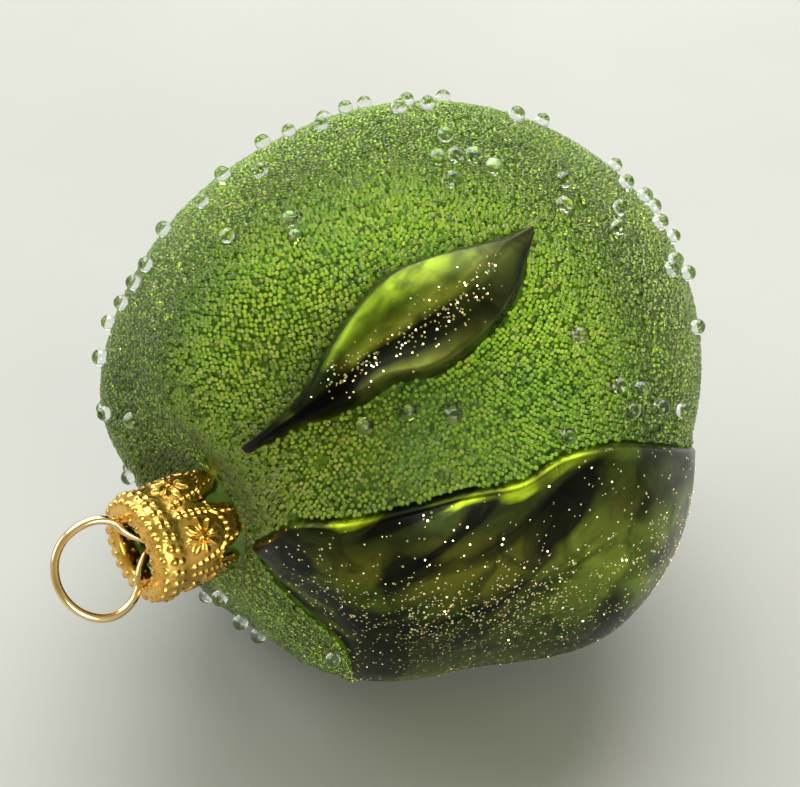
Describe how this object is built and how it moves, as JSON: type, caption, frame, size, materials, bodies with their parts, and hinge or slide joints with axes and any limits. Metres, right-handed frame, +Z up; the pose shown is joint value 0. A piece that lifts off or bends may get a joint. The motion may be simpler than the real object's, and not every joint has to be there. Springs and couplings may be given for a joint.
{
  "type": "lime-shaped glass tree ornament",
  "caption": "Hollow blown glass tree ornament shaped like a lime, with a beaded coat, moulded leaves, a stamped metal cap and a wire hanging ring.",
  "frame": {"origin": "centre of the flat spot the ornament rests on, lying on its side", "axes": "+Z up, the cap points to -X, the large leaf faces -Y"},
  "size_m": [0.0894, 0.0706, 0.0661],
  "materials": {
    "leaf_green_glass": "dark green lacquer over silvered glass, glossy",
    "neck_green_glass": "green lacquer over silvered glass, glossy",
    "sugared_green": "frosted by a crust of tiny clear beads over green",
    "stamped_gold": "bright stamped gold",
    "gold_wire": "polished gold"
  },
  "bodies": {
    "root": {"glass_body": "leaf_green_glass", "glass_neck": "neck_green_glass", "bead_coat": "sugared_green", "cap": "stamped_gold", "hanger_ring": "gold_wire"}
  },
  "joints": []
}
